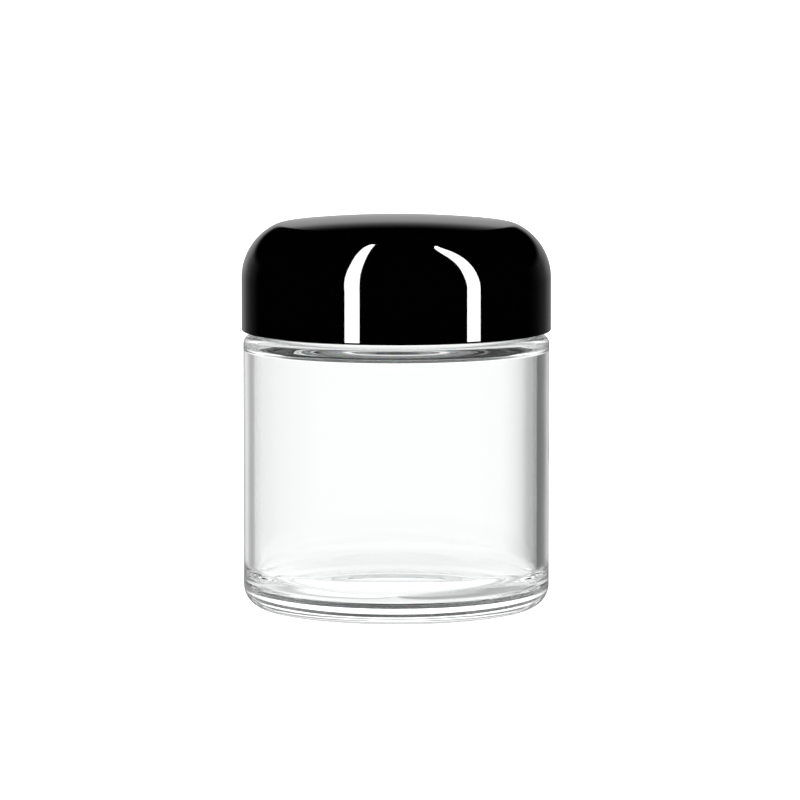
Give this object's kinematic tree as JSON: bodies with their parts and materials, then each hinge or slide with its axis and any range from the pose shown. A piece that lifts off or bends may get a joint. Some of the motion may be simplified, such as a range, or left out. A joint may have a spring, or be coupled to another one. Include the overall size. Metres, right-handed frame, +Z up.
{
  "type": "cosmetic cream jar",
  "caption": "Round clear glass cream jar with a heavy base and a glossy black double-walled dome screw cap over a threaded neck and a sealing disc.",
  "frame": {"origin": "centre of the base, on the surface that the jar stands on", "axes": "+Z up along the jar's axis, the axis that the cap turns about; +X towards the root of the sealing disc's pull tab"},
  "size_m": [0.048, 0.048, 0.0606],
  "materials": {
    "glass": "clear polished soda-lime glass",
    "disc": "natural white moulded polyethylene",
    "inner_cap": "satin black moulded polypropylene",
    "liner": "white expanded polyethylene foam",
    "shell": "high gloss black moulded plastic"
  },
  "bodies": {
    "jar": {"glass_jar": "glass"},
    "seal": {"sealing_disc": "disc"},
    "cap": {"inner_cap": "inner_cap", "cap_liner": "liner", "outer_shell": "shell"}
  },
  "joints": [
    {"name": "cap_climb", "type": "slide", "parent": "jar", "child": "seal", "axis": [0, 0, 1], "range_m": [0, 0.01694]},
    {"name": "cap_turn", "type": "hinge", "parent": "seal", "child": "cap", "pos_m": [0, 0, 0.0431], "axis": [0, 0, 1], "range_deg": [0, 1440]}
  ],
  "couplings": [
    {"joint": "cap_climb", "follows": "cap_turn", "m_per_rad": 0.00067376}
  ]
}
